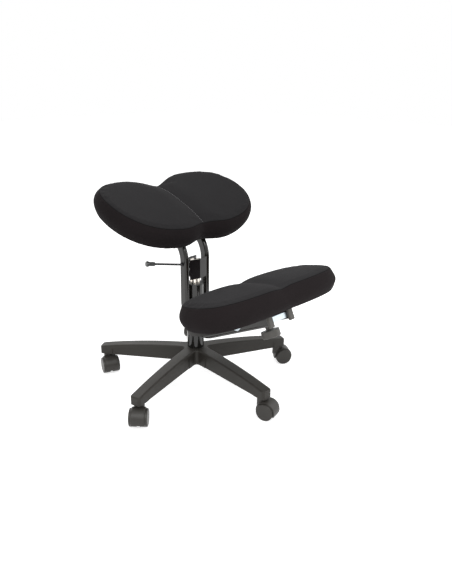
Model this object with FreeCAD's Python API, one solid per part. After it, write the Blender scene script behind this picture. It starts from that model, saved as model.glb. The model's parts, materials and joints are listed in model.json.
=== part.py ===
import FreeCAD, Part
import math
import os

os.makedirs("parts", exist_ok=True)
Vec = FreeCAD.Vector

# The sitter faces -Y, +X is the sitter's left and +Z is up. Everything is worked out about the gas
# lift's axis, and the last lines move the whole chair so that its box is centred over the origin.

# Clearances
running_gap = 0.06
moving_gap = 0.4

# Five-arm base
arm_count = 5
first_arm_angle = 51.7
arm_reach = 305.0
arm_tip_half_width = 16.5
arm_root_half_width = 18.5
arm_corner_radius = 8.0
arm_edge_radius = 4.0
crotch_radius = 10.0
hub_radius = 38.0
hub_top = 113.0
hub_bottom = 66.0
arm_mid_top = 104.0
arm_tip_top = 85.0
arm_tip_bottom = 60.0
panel_depth = 1.5
panel_margin = 10.0
panel_corner_radius = 6.0
panel_start = 64.0
rib_thickness = 3.0
shell_wall = 3.4
roof_wall = 5.0
rib_cells = 5
rib_start = 50.0

# Casters
wheel_radius = 25.0
wheel_rim_width = 15.0
wheel_cap_width = 6.5
wheel_wall = 3.0
wheel_edge_radius = 3.0
wheel_boss_wall = 4.0
wheel_face_depth = 3.0
caster_trail = 18.0
caster_web = 8.0
hood_radius = 28.5
hood_wall = 2.6
hood_boss_radius = 14.5
hood_edge_radius = 2.5
hood_gap = 2.0
stem_radius = 5.5
stem_setback = 20.0
stem_depth = 22.0
stem_seat = 12.0
stem_groove = 0.7
sleeve_wall = 2.0
axle_radius = 3.0
hood_trailing_edge = 14.0
hood_leading_edge = 24.0
caster_directions = [15.0, -111.0, -136.0, -75.0, -33.0]

# Gas lift
column_radius = 25.0
column_wall = 2.4
column_taper = 0.6
column_top = 314.0
column_floor = 3.0
cylinder_radius = 14.0
cylinder_wall = 2.0
cylinder_bottom = 104.0
cylinder_top = 386.0
cylinder_plug = 8.0
cylinder_head = 26.0
cone_shrink = 0.8
rod_radius = 5.0
piston_top = 238.0
piston_height = 9.0
piston_gap = 0.5
buffer_radius = 11.0
buffer_height = 7.0
bearing_radius = 16.0
bearing_washer = 2.0
bearing_ball_radius = 2.0
bearing_ball_count = 12
bush_length = 64.0
bush_flange = 2.5
pin_radius = 4.0
pin_length = 20.0
pin_stand = 6.3

# Twin-tube frame
tube_height = 30.0
tube_width = 15.0
tube_wall = 1.8
tube_spacing = 79.0
upper_bend_radius = 80.0
lower_bend_radius = 75.0
lower_bend_height = 268.0
arm_slope = 26.0
arm_end = 322.0
tail_length = 95.0
cap_height = 38.0
cap_width = 18.0
cap_length = 9.0
cap_plug = 16.0
cap_corner_radius = 3.0
arm_room_gap = 0.8
arm_room_reach = 45.0
tail_head = 3.0
tail_lip = 0.6

# Lift socket and its covers
socket_radius = 19.0
socket_bottom = 337.0
socket_bar = 6.0
socket_bar_half_depth = 11.5
socket_bar_drop = 10.0
cover_top = 393.0
cover_bottom = 334.0
cover_side_front = 15.0
cover_apex_front = 22.0
cover_sheet = 1.6

# Height lever
lever_radius = 3.2
lever_height = 382.0
lever_tip_height = 396.0
lever_tip_x = 4.0
lever_step_x = -20.0
lever_drop_x = -28.0
lever_exit = 5.0
lever_end = (-149.6, 30.6, 398.0)
lever_bend_radius = 6.0
grip_length = 26.0
grip_overhang = 3.0
grip_collar = 13.0
grip_flare = 9.0
grip_collar_radius = 6.0
grip_end_radius = 8.6
grommet_radius = 7.0
grommet_flare = 1.1

# Seat
seat_tilt = -19.8
seat_origin_f = -70.0
seat_origin_z = 545.2
seat_half_width = 238.0
seat_half_depth = 142.0
seat_front_notch = 21.0
seat_front_notch_width = 45.0
seat_back_notch = 37.0
seat_back_notch_width = 60.0
seat_thickness = 56.0
seat_crown = 9.0
seat_valley = 7.0
seat_valley_width = 28.0
seat_inset = 5.0
seat_curve_radius = 1250.0
seat_corner_power = 3.5
side_swell = 0.1
board_thickness = 12.0
board_inset = 16.0
board_stand = 0.5
board_land = 100.0
seat_plate_thickness = 3.0
seat_plate_half_width = 95.0
seat_plate_front = 48.0
seat_plate_back = -72.0
seat_bolt_x = 70.0
seat_bolt_s = 42.0
seat_bolt_offset = -12.0

# Knee rest
knee_tilt = 13.5
knee_origin_f = 222.0
knee_origin_z = 368.1
knee_half_width = 250.0
knee_half_depth = 99.0
knee_front_notch = 10.0
knee_back_notch = 12.0
knee_notch_width = 35.0
knee_thickness = 67.0
knee_crown = 11.0
knee_valley = 10.0
knee_valley_width = 26.0
knee_inset = 15.0
knee_corner_power = 3.8
knee_board_drop = 9.0
knee_board_inset = 26.0
knee_plate_sheet = 2.5
knee_plate_half_width = 97.5
knee_plate_front = 37.0
knee_plate_back = -92.0
knee_flange_front = 20.0
knee_flange_back = 8.0
knee_bolt_x = 70.0
knee_bolt_s = 40.0
knee_bolt_offset = -28.0

# Knee carriage on the two arms, along the arm from the end of the lower bend
carriage_start = 62.0
carriage_end = 148.0
carriage_sheet = 3.0
carriage_half_width = 58.0
shoe_length = 26.0
shoe_pad = 4.0
shoe_lip = 2.2
shoe_reach = 11.0
tongue_level = 2.0
tongue_sheet = 3.0
tongue_half_width = 22.0
tongue_end = 204.0
stud_place = 192.0
stud_radius = 4.0
bridge_level = -9.0
bridge_sheet = 3.0
bridge_start = 118.0
bridge_lip = 15.0
bridge_slot_back = 55.0
bridge_slot_front = 35.0
knob_radius = 25.5
knob_height = 20.0
knob_neck_radius = 10.0
knob_neck = 19.0
knob_edge_radius = 2.0
stud_grip = 14.0

# Fasteners shared by the seat and the knee rest
bolt_radius = 3.0
bolt_head_radius = 5.5
bolt_head_height = 3.5
bolt_socket_radius = 2.4
nut_flange_radius = 9.0
nut_flange_height = 1.2
nut_barrel_radius = 4.6
nut_depth = 8.0

tube_x = tube_spacing / 2
tube_inner_x = tube_x - tube_width / 2
tube_outer_x = tube_x + tube_width / 2
upper_bend_turn = 90.0 + seat_tilt
lower_bend_turn = 90.0 + arm_slope
nodes = {}


def turned(points):
    """A solid of revolution about Z from a closed outline of (radius, height) points."""
    corners = [Vec(r, 0, z) for r, z in points]
    face = Part.Face(Part.makePolygon(corners + corners[:1]))
    return face.revolve(Vec(0, 0, 0), Vec(0, 0, 1), 360)


def disc(radius, low, high):
    return Part.makeCylinder(radius, high - low, Vec(0, 0, low))


def ring(outer, inner, low, high):
    return disc(outer, low, high).cut(disc(inner, low - 1, high + 1))


def block(x0, x1, y0, y1, z0, z1):
    return Part.makeBox(x1 - x0, y1 - y0, z1 - z0, Vec(x0, y0, z0))


def moved(shape, x=0.0, y=0.0, z=0.0, turn=0.0):
    """A copy turned about the Z axis through the origin and then moved."""
    copy = shape.copy()
    copy.rotate(Vec(0, 0, 0), Vec(0, 0, 1), turn)
    copy.translate(Vec(x, y, z))
    return copy


def side(f, z, x=0.0):
    """A point given by its distance forward of the lift axis and its height."""
    return Vec(x, -f, z)


class Slope:
    """A sloping frame: s runs forward along it, n is square to it and x is the sitter's left."""

    def __init__(self, f, z, degrees):
        angle = math.radians(degrees)
        self.along = Vec(0, -math.cos(angle), math.sin(angle))
        self.normal = Vec(0, math.sin(angle), math.cos(angle))
        self.origin = side(f, z)

    def at(self, x, s, n):
        return self.origin + Vec(x, 0, 0) + self.along * s + self.normal * n

    def box(self, x0, x1, s0, s1, n0, n1):
        corners = [self.at(x0, s0, n0), self.at(x1, s0, n0), self.at(x1, s1, n0), self.at(x0, s1, n0)]
        face = Part.Face(Part.makePolygon(corners + corners[:1]))
        return face.extrude(self.normal * (n1 - n0))

    def rod(self, radius, x, s, n0, n1):
        return Part.makeCylinder(radius, n1 - n0, self.at(x, s, n0), self.normal)

    def plate(self, outline, x0, x1):
        """A flat piece whose outline of (s, n) points is extruded sideways from x0 to x1."""
        corners = [self.at(x0, s, n) for s, n in outline]
        face = Part.Face(Part.makePolygon(corners + corners[:1]))
        return face.extrude(Vec(x1 - x0, 0, 0))


# Frames of the seat, the knee rest and the arms
seat_top = Slope(seat_origin_f, seat_origin_z, seat_tilt)
seat_under = seat_top.at(0, 0, -seat_thickness)
seat = Slope(-seat_under.y, seat_under.z, seat_tilt)
knee_top = Slope(knee_origin_f, knee_origin_z, knee_tilt)
knee_under = knee_top.at(0, 0, -knee_thickness)
knee = Slope(-knee_under.y, knee_under.z, knee_tilt)
arm_turn = math.radians(arm_slope)
bend_end_f = lower_bend_radius + lower_bend_radius * math.sin(arm_turn)
bend_end_z = lower_bend_height - lower_bend_radius * math.cos(arm_turn)
arms = Slope(bend_end_f, bend_end_z, arm_slope)
arm_length = (arm_end - bend_end_f) / math.cos(arm_turn)


# Star base

def half_width(radius):
    share = (radius - hub_radius) / (arm_reach - hub_radius)
    return arm_root_half_width + (arm_tip_half_width - arm_root_half_width) * share


def arm_top(radius):
    """Height of the arm's roof, a shallow arc from the hub to the tip."""
    share = (radius - hub_radius) / (arm_reach - hub_radius)
    chord = hub_top + (arm_tip_top - hub_top) * share
    rise = arm_mid_top - (hub_top + arm_tip_top) / 2
    return chord + 4 * rise * share * (1 - share)


def base_envelope():
    """Everything under the roof arc and over the sloping underside, round the lift axis."""
    beyond = arm_reach + 20
    middle = (hub_radius + beyond) / 2
    a = Vec(hub_radius, 0, hub_top)
    b = Vec(beyond, 0, arm_top(beyond))
    roof = Part.Arc(a, Vec(middle, 0, arm_top(middle)), b).toShape()
    corners = [b, Vec(beyond, 0, arm_tip_bottom), Vec(arm_reach - 2 * stem_setback, 0, arm_tip_bottom),
               Vec(hub_radius + 12, 0, hub_bottom), Vec(0, 0, hub_bottom), Vec(0, 0, hub_top), a]
    edges = [roof] + [Part.makeLine(p, q) for p, q in zip(corners, corners[1:])]
    solid = Part.Face(Part.Wire(edges)).revolve(Vec(0, 0, 0), Vec(0, 0, 1), 360)
    return moved(solid, turn=first_arm_angle + 180.0 / arm_count)


def arm_blank():
    """One arm's plan along +X, with rounded tip corners, as a tall block."""
    root = half_width(0)
    tip = arm_tip_half_width
    low = hub_bottom - 20
    r = arm_corner_radius
    k = r * (1 - math.sqrt(0.5))
    p = [Vec(0, -root, low), Vec(arm_reach - r, -tip, low), Vec(arm_reach - k, -tip + k, low),
         Vec(arm_reach, -tip + r, low), Vec(arm_reach, tip - r, low),
         Vec(arm_reach - k, tip - k, low), Vec(arm_reach - r, tip, low), Vec(0, root, low)]
    edges = [Part.makeLine(p[0], p[1]), Part.Arc(p[1], p[2], p[3]).toShape(),
             Part.makeLine(p[3], p[4]), Part.Arc(p[4], p[5], p[6]).toShape(),
             Part.makeLine(p[6], p[7]), Part.makeLine(p[7], p[0])]
    return Part.Face(Part.Wire(edges)).extrude(Vec(0, 0, hub_top + 20 - low))


def side_panel(hand):
    """The shallow recess pressed into one side of an arm."""
    end = arm_reach - 2 * stem_setback
    r = panel_corner_radius
    a = arm_top(panel_start) - panel_margin
    b = arm_top(end) - panel_margin
    low = arm_tip_bottom - 10
    depth = half_width(panel_start)
    flat = [Vec(panel_start, 0, low), Vec(end, 0, low), Vec(end, 0, b), Vec(panel_start, 0, a)]
    slab = Part.Face(Part.makePolygon(flat + flat[:1])).extrude(Vec(0, hand * depth, 0))
    upper = [e for e in slab.Edges
             if abs(e.Vertexes[0].Z - e.Vertexes[-1].Z) < 1e-6 and e.Vertexes[0].Z > low + 1
             and abs(e.Vertexes[0].X - e.Vertexes[-1].X) < 1e-6]
    slab = slab.makeFillet(r, upper)
    slope = math.degrees(math.atan2(half_width(panel_start) - half_width(end), end - panel_start))
    slab.translate(Vec(-panel_start, 0, 0))
    slab.rotate(Vec(0, 0, 0), Vec(0, 0, 1), -hand * slope)
    slab.translate(Vec(panel_start, hand * (half_width(panel_start) - panel_depth), 0))
    return slab


def arm_pockets():
    """The open cells under one arm, between its cross ribs and its long middle rib."""
    end = arm_reach - 2 * stem_setback
    pitch = (end - rib_start) / rib_cells
    cells = []
    for k in range(rib_cells):
        near = rib_start + k * pitch + rib_thickness / 2
        far = rib_start + (k + 1) * pitch - rib_thickness / 2
        wide = half_width(far) - panel_depth - shell_wall
        roof = arm_top(far) - roof_wall
        low = arm_tip_bottom - 10
        cells.append(block(near, far, rib_thickness / 2, wide, low, roof))
        cells.append(block(near, far, -wide, -rib_thickness / 2, low, roof))
    return cells


def star_base():
    step = 360.0 / arm_count
    blanks = [moved(arm_blank(), turn=first_arm_angle + k * step) for k in range(arm_count)]
    body = blanks[0].fuse(blanks[1:]).removeSplitter()
    crotches = [e for e in body.Edges if e.BoundBox.ZLength > 30
                and math.hypot(e.Vertexes[0].X, e.Vertexes[0].Y) < hub_radius]
    body = body.makeFillet(crotch_radius, crotches).common(base_envelope())
    rim = [e for e in body.Edges if e.BoundBox.ZMin > arm_tip_top - 3
           and math.hypot(e.CenterOfMass.x, e.CenterOfMass.y) > hub_radius + 0.5]
    body = body.makeFillet(arm_edge_radius, rim)
    cutters = []
    for k in range(arm_count):
        turn = first_arm_angle + k * step
        stem_x = arm_reach - stem_setback
        socket = disc(stem_radius + running_gap + sleeve_wall, arm_tip_bottom - 20, arm_tip_bottom + stem_depth)
        pieces = arm_pockets() + [side_panel(1), side_panel(-1), moved(socket, x=stem_x)]
        cutters += [moved(piece, turn=turn) for piece in pieces]
    bore = turned([(0, hub_bottom - 5), (column_radius - column_taper, hub_bottom - 5),
                   (column_radius - column_taper, hub_bottom),
                   (column_radius, hub_top), (column_radius, hub_top + 5), (0, hub_top + 5)])
    return body.cut(cutters + [bore])


nodes["star_base"] = star_base()


# Casters

def stem_sleeve():
    outer = stem_radius + running_gap + sleeve_wall
    return ring(outer, stem_radius + running_gap, arm_tip_bottom, arm_tip_bottom + stem_depth)


def caster_hood():
    """The hood about its stem axis: the wheels trail towards +X, and the axle runs along Y."""
    x = caster_trail
    half = caster_web / 2 + wheel_rim_width
    top = arm_tip_bottom - hood_gap
    drum = Part.makeCylinder(hood_radius, 2 * half, Vec(x, -half, wheel_radius), Vec(0, 1, 0))
    rims = [e for e in drum.Edges if e.Curve.TypeId == "Part::GeomCircle"]
    body = drum.makeFillet(hood_edge_radius, rims)
    body = body.fuse(disc(hood_boss_radius, wheel_radius + hood_radius / 3, top))
    reach = hood_radius + 10
    slope = (hood_leading_edge - hood_trailing_edge) / (2 * hood_radius)
    middle = (hood_leading_edge + hood_trailing_edge) / 2
    cuts = [block(x - reach, x + reach, -half, half, -reach, hood_trailing_edge),
            disc(stem_radius, top - stem_seat, top + 1),
            Part.makeCylinder(axle_radius, 2 * half, Vec(x, -half, wheel_radius), Vec(0, 1, 0))]
    for hand in (1, -1):
        start = hand * caster_web / 2
        lower = [Vec(x - reach, start, middle + reach * slope), Vec(x + reach, start, middle - reach * slope),
                 Vec(x + reach, start, -reach), Vec(x - reach, start, -reach)]
        cuts.append(Part.Face(Part.makePolygon(lower + lower[:1])).extrude(Vec(0, hand * reach, 0)))
        cuts.append(Part.makeCylinder(hood_radius - hood_wall, half, Vec(x, start, wheel_radius),
                                      Vec(0, hand, 0)))
    return body.cut(cuts)


def caster_stem():
    high = arm_tip_bottom + stem_depth - 1
    body = disc(stem_radius, arm_tip_bottom - hood_gap - stem_seat, high)
    body = body.cut(ring(stem_radius + 1, stem_radius - stem_groove, high - 7, high - 5))
    tip = [e for e in body.Edges if e.BoundBox.ZMin > high - 0.01]
    return body.makeChamfer(stem_groove, tip)


def caster_axle():
    half = caster_web / 2 + wheel_rim_width + 1.5
    return Part.makeCylinder(axle_radius, 2 * half, Vec(caster_trail, -half, wheel_radius), Vec(0, 1, 0))


def caster_wheel(hand):
    """A wheel half: a rim under the hood, a domed cap outside it and a hub on the axle."""
    inside = caster_web / 2 + moving_gap
    rim_end = caster_web / 2 + wheel_rim_width
    face = rim_end + wheel_cap_width
    under = face - wheel_face_depth
    r = wheel_radius
    bore = axle_radius + running_gap
    boss = bore + wheel_boss_wall
    rim = r - wheel_wall
    e = wheel_edge_radius
    k = e * math.sqrt(0.5)
    c = moving_gap
    p = [Vec(bore, 0, inside), Vec(boss, 0, inside), Vec(boss, 0, rim_end), Vec(rim, 0, rim_end),
         Vec(rim, 0, inside), Vec(r - c, 0, inside), Vec(r, 0, inside + c), Vec(r, 0, face - e)]
    q = [Vec(r - e, 0, face), Vec(0, 0, face), Vec(0, 0, under), Vec(bore, 0, under)]
    bend = Part.Arc(p[-1], Vec(r - e + k, 0, face - e + k), q[0]).toShape()
    edges = [Part.makeLine(a, b) for a, b in zip(p, p[1:])] + [bend]
    edges += [Part.makeLine(a, b) for a, b in zip(q, q[1:])] + [Part.makeLine(q[-1], p[0])]
    wheel = Part.Face(Part.Wire(edges)).revolve(Vec(0, 0, 0), Vec(0, 0, 1), 360)
    wheel.rotate(Vec(0, 0, 0), Vec(1, 0, 0), -90 * hand)
    wheel.translate(Vec(caster_trail, 0, wheel_radius))
    return wheel


caster_parts = {"hood": caster_hood(), "stem": caster_stem(), "axle": caster_axle(),
                "left_wheel": caster_wheel(1), "right_wheel": caster_wheel(-1)}
sleeves = []
for k in range(arm_count):
    angle = math.radians(first_arm_angle + k * 360.0 / arm_count)
    stem_x = (arm_reach - stem_setback) * math.cos(angle)
    stem_y = (arm_reach - stem_setback) * math.sin(angle)
    sleeves.append(moved(stem_sleeve(), x=stem_x, y=stem_y))
    for name, shape in caster_parts.items():
        nodes["caster_%d_%s" % (k + 1, name)] = moved(shape, stem_x, stem_y, 0, caster_directions[k])
nodes["stem_sleeves"] = Part.makeCompound(sleeves)


# Gas lift, from the outer column in the hub to the cylinder's release pin

column_bottom = hub_bottom - 2
column_bore = column_radius - column_wall
floor_top = column_bottom + column_floor
nodes["base_column"] = turned([
    (rod_radius + 1, column_bottom), (column_radius - column_taper, column_bottom),
    (column_radius - column_taper, hub_bottom), (column_radius, hub_top), (column_radius, column_top),
    (column_bore, column_top), (column_bore, floor_top), (rod_radius + 1, floor_top)])

bush_bottom = column_top - bush_length
cylinder_bore = cylinder_radius + running_gap
nodes["guide_bush"] = turned([
    (cylinder_bore, bush_bottom), (column_bore, bush_bottom), (column_bore, column_top),
    (column_radius - 1, column_top), (column_radius - 2, column_top + bush_flange),
    (cylinder_bore, column_top + bush_flange)])


def thrust_bearing():
    """Two washers with a ring of balls between them, on the column's floor."""
    ball_low = floor_top + bearing_washer
    top = ball_low + 2 * bearing_ball_radius
    inner = rod_radius + 1
    pieces = [ring(bearing_radius, inner, floor_top, ball_low),
              ring(bearing_radius, inner, top, top + bearing_washer)]
    pitch = (bearing_radius + inner) / 2
    for k in range(bearing_ball_count):
        a = 2 * math.pi * k / bearing_ball_count
        centre = Vec(pitch * math.cos(a), pitch * math.sin(a), ball_low + bearing_ball_radius)
        pieces.append(Part.makeSphere(bearing_ball_radius, centre))
    return Part.makeCompound(pieces)


nodes["thrust_bearing"] = thrust_bearing()
bearing_top = floor_top + 2 * bearing_washer + 2 * bearing_ball_radius
collar_low = bearing_top + moving_gap
collar_top = collar_low + 3
rod_foot = column_bottom - 4
piston_low = piston_top - piston_height
piston_radius = cylinder_radius - cylinder_wall - piston_gap
clip_top = column_bottom - moving_gap
clip_low = clip_top - 1.5
nodes["piston_rod"] = turned([
    (0, rod_foot), (rod_radius, rod_foot), (rod_radius, clip_low), (rod_radius - 1, clip_low),
    (rod_radius - 1, clip_top), (rod_radius, clip_top), (rod_radius, collar_low),
    (rod_radius + 5, collar_low), (rod_radius + 5, collar_top), (rod_radius, collar_top),
    (rod_radius, piston_low), (piston_radius, piston_low), (piston_radius, piston_top), (0, piston_top)])
nodes["rod_clip"] = ring(rod_radius + 4, rod_radius - 1, clip_low, clip_top)
nodes["rubber_buffer"] = ring(buffer_radius, rod_radius, collar_top, collar_top + buffer_height)

cone_low = socket_bottom
cone_radius = cylinder_radius - cone_shrink
cavity = cylinder_radius - cylinder_wall
cavity_low = cylinder_bottom + cylinder_plug
cavity_high = cylinder_top - cylinder_head
pin_low = cylinder_top + pin_stand - pin_length
nodes["gas_cylinder"] = turned([
    (rod_radius + running_gap, cylinder_bottom), (cylinder_radius - 1, cylinder_bottom),
    (cylinder_radius, cylinder_bottom + 1), (cylinder_radius, cone_low), (cone_radius, cylinder_top),
    (pin_radius + running_gap, cylinder_top), (pin_radius + running_gap, pin_low - 4), (0, pin_low - 4),
    (0, cavity_high), (cavity, cavity_high), (cavity, cavity_low), (rod_radius + running_gap, cavity_low)])
nodes["release_pin"] = turned([
    (0, pin_low), (pin_radius, pin_low), (pin_radius, cylinder_top + pin_stand - 0.6),
    (pin_radius - 0.6, cylinder_top + pin_stand), (0, cylinder_top + pin_stand)])


# Twin-tube frame

def obround(height, width, centre, tall):
    """A flat-oval wire: tall is the unit direction of its height, and its width is along X."""
    r = width / 2
    flat = height / 2 - r
    across = Vec(r, 0, 0)
    top = centre + tall * flat
    low = centre - tall * flat
    edges = [Part.makeLine(low + across, top + across),
             Part.Arc(top + across, top + tall * r, top - across).toShape(),
             Part.makeLine(top - across, low - across),
             Part.Arc(low - across, low - tall * r, low + across).toShape()]
    return Part.Wire(edges)


def bore_wire(centre, tall):
    return obround(tube_height - 2 * tube_wall, tube_width - 2 * tube_wall, centre, tall)


def tube_face(centre, tall):
    outer = Part.Face(obround(tube_height, tube_width, centre, tall))
    return outer.cut(Part.Face(bore_wire(centre, tall))).Faces[0]


def upper_bend(x):
    """Where a tube's straight tail under the seat ends, and where its upright part begins."""
    line = seat.at(x, 0, -seat_plate_thickness - tube_height / 2)
    corner = line + seat.along * (line.y / -seat.along.y)
    cut_back = upper_bend_radius * math.tan(math.radians(upper_bend_turn) / 2)
    return corner - seat.along * cut_back, Vec(x, 0, corner.z - cut_back)


def frame_tube(x):
    """One tube from under the seat, round two bends, to the front end of the knee rest's arm."""
    tail_end, mast_top = upper_bend(x)
    mast_foot = Vec(x, 0, lower_bend_height)
    ahead = Vec(0, -1, 0)
    turn_axis = Vec(1, 0, 0)
    mast = tube_face(mast_top, ahead)
    pieces = [tube_face(tail_end, seat.normal).extrude(seat.along * -tail_length),
              mast.revolve(mast_top + Vec(0, upper_bend_radius, 0), turn_axis, -upper_bend_turn),
              mast.extrude(mast_foot - mast_top),
              tube_face(mast_foot, ahead).revolve(mast_foot + ahead * lower_bend_radius, turn_axis,
                                                  -lower_bend_turn),
              tube_face(arms.at(x, 0, 0), arms.normal).extrude(arms.along * arm_length)]
    return pieces[0].fuse(pieces[1:]).removeSplitter()


hole_start = Vec(-tube_x - tube_width, 0, lever_height)
lever_hole = Part.makeCylinder(grommet_radius, 2 * tube_width, hole_start, Vec(1, 0, 0))
nodes["left_frame_tube"] = frame_tube(tube_x)
nodes["right_frame_tube"] = frame_tube(-tube_x).cut(lever_hole)


def arm_cap(x):
    """A moulded cap over an arm's end, with a plug that fills the tube's bore."""
    w = cap_width / 2
    h = cap_height / 2
    head = arms.box(x - w, x + w, arm_length, arm_length + cap_length, -h, h)
    head = head.makeFillet(cap_corner_radius, head.Edges)
    plug = Part.Face(bore_wire(arms.at(x, arm_length - cap_plug, 0), arms.normal))
    return head.fuse(plug.extrude(arms.along * (cap_plug + cap_length / 2))).removeSplitter()


nodes["left_arm_cap"] = arm_cap(tube_x)
nodes["right_arm_cap"] = arm_cap(-tube_x)


def tail_plug(x):
    end = upper_bend(x)[0] - seat.along * tail_length
    flange = obround(tube_height - tail_lip, tube_width - tail_lip, end, seat.normal)
    stem = Part.Face(bore_wire(end + seat.along * cap_plug, seat.normal)).extrude(seat.along * -cap_plug)
    return stem.fuse(Part.Face(flange).extrude(seat.along * -tail_head))


nodes["tail_plugs"] = Part.makeCompound([tail_plug(tube_x), tail_plug(-tube_x)])


# Lift socket between the tubes, its back plate and its folded front cover

def lift_socket():
    body = disc(socket_radius, socket_bottom, cylinder_top)
    bar_low = socket_bottom + socket_bar_drop
    bar_high = cylinder_top - socket_bar_drop
    d = socket_bar_half_depth
    for low in (bar_low, bar_high - socket_bar):
        body = body.fuse(block(-tube_inner_x, tube_inner_x, -d, d, low, low + socket_bar))
    bore = turned([(0, cone_low - 1), (cylinder_radius, cone_low - 1), (cylinder_radius, cone_low),
                   (cone_radius, cylinder_top), (cone_radius, cylinder_top + 1), (0, cylinder_top + 1)])
    return body.cut(bore).removeSplitter()


nodes["lift_socket"] = lift_socket()
cover = [Vec(-tube_inner_x, -cover_side_front, cover_bottom), Vec(0, -cover_apex_front, cover_bottom),
         Vec(tube_inner_x, -cover_side_front, cover_bottom),
         Vec(tube_inner_x, cover_sheet - cover_side_front, cover_bottom),
         Vec(0, cover_sheet - cover_apex_front, cover_bottom),
         Vec(-tube_inner_x, cover_sheet - cover_side_front, cover_bottom)]
cover_face = Part.Face(Part.makePolygon(cover + cover[:1]))
nodes["front_cover"] = cover_face.extrude(Vec(0, 0, cover_top - cover_bottom))


# Height lever: a bent rod through the right tube, over the release pin

def rounded_path(points, radius):
    """Straight runs joined by tangent arcs of one radius."""
    edges = []
    start = points[0]
    for before, corner, after in zip(points, points[1:], points[2:]):
        u = (before - corner).normalize()
        v = (after - corner).normalize()
        half = math.acos(max(-1.0, min(1.0, u.dot(v)))) / 2
        back = radius / math.tan(half)
        a = corner + u * back
        b = corner + v * back
        bisector = (u + v).normalize()
        middle = corner + bisector * (radius / math.sin(half) - radius)
        edges.append(Part.makeLine(start, a))
        edges.append(Part.Arc(a, middle, b).toShape())
        start = b
    edges.append(Part.makeLine(start, points[-1]))
    return Part.Wire(edges)


lever_tail = Vec(*lever_end)
lever_elbow = Vec(-tube_outer_x - lever_exit, 0, lever_height)
lever_points = [Vec(lever_tip_x, 0, lever_tip_height), Vec(lever_step_x, 0, lever_tip_height),
                Vec(lever_drop_x, 0, lever_height), lever_elbow, lever_tail]
lever_path = rounded_path(lever_points, lever_bend_radius)
lever_start = Part.Wire(Part.makeCircle(lever_radius, lever_points[0], Vec(-1, 0, 0)))
nodes["height_lever"] = lever_path.makePipeShell([lever_start], True, False)



def lever_grip():
    """A moulded grip over the lever's end: a collar, a flare and a short crown."""
    out = (lever_tail - lever_elbow).normalize()
    base = lever_tail - out * (grip_length - grip_overhang)
    grip = turned([(lever_radius, 0), (grip_collar_radius - 1, 0), (grip_collar_radius, 2),
                   (grip_collar_radius, grip_collar), (grip_collar_radius - 1, grip_collar),
                   (grip_end_radius, grip_collar + grip_flare), (grip_end_radius - 1.6, grip_length),
                   (0, grip_length), (0, grip_length - grip_overhang),
                   (lever_radius, grip_length - grip_overhang)])
    return grip.transformGeometry(FreeCAD.Placement(base, FreeCAD.Rotation(Vec(0, 0, 1), out)).toMatrix())


nodes["lever_grip"] = lever_grip()

waist_radius = lever_radius + moving_gap
mouth_radius = waist_radius + grommet_flare
half_bush = tube_width / 2
bush = [Vec(waist_radius, 0, 0), Vec(mouth_radius, 0, half_bush), Vec(grommet_radius, 0, half_bush),
        Vec(grommet_radius, 0, -half_bush), Vec(mouth_radius, 0, -half_bush)]
grommet = Part.Face(Part.makePolygon(bush + bush[:1])).revolve(Vec(0, 0, 0), Vec(0, 0, 1), 360)
grommet.rotate(Vec(0, 0, 0), Vec(0, 1, 0), 90)
grommet.translate(Vec(-tube_x, 0, lever_height))
nodes["lever_grommet"] = grommet


# Padded cushions

def lobe(x, half_width_x, power):
    """How far the rounded outline reaches, from 1 at the middle to 0 at the end of a lobe."""
    share = min(1.0, abs(x) / half_width_x)
    return math.sqrt(1 - share ** power)


def dip(x, depth, width):
    return depth * math.exp(-(x / width) ** 2)


def seat_edges(x):
    reach = seat_half_depth * lobe(x, seat_half_width, seat_corner_power)
    front = reach - dip(x, seat_front_notch, seat_front_notch_width)
    back = -reach + dip(x, seat_back_notch, seat_back_notch_width)
    return front, back


def knee_edges(x):
    reach = knee_half_depth * lobe(x, knee_half_width, knee_corner_power)
    front = reach - dip(x, knee_front_notch, knee_notch_width)
    back = -reach + dip(x, knee_back_notch, knee_notch_width)
    return front, back


def cushion(slope, edges, half, height, crown, valley, valley_width, inset, rise):
    """A crowned pad lofted through cross-sections from one lobe's end to the other's.

    Each section has a flat underside, two sides that draw in towards it and a domed top,
    and the sections near the middle are lower, which leaves a valley between the lobes.
    """
    shares = [0.0, 0.05, 0.12, 0.25, 0.42, 0.6, 0.75, 0.87, 0.95, 0.992]
    stations = [-half * t for t in reversed(shares[1:])] + [half * t for t in shares]
    sections = []
    for x in stations:
        front, back = edges(x)
        lift = rise(x)
        depth = front - back
        drawn = min(inset, depth / 5)
        top = height - dip(x, valley, valley_width)
        dome = crown * min(1.0, depth / (2 * height))
        middle = (front + back) / 2
        swell = side_swell * height
        low_back = slope.at(x, back + drawn, lift)
        low_front = slope.at(x, front - drawn, lift)
        mid_front = slope.at(x, front + swell, lift + height * 0.55)
        top_front = slope.at(x, front, lift + top)
        top_middle = slope.at(x, middle, lift + top + dome)
        top_back = slope.at(x, back, lift + top)
        mid_back = slope.at(x, back - swell, lift + height * 0.55)
        sections.append(Part.Wire([
            Part.makeLine(low_back, low_front),
            Part.Arc(low_front, mid_front, top_front).toShape(),
            Part.Arc(top_front, top_middle, top_back).toShape(),
            Part.Arc(top_back, mid_back, low_back).toShape()]))
    return Part.makeLoft(sections, True, False)


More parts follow.
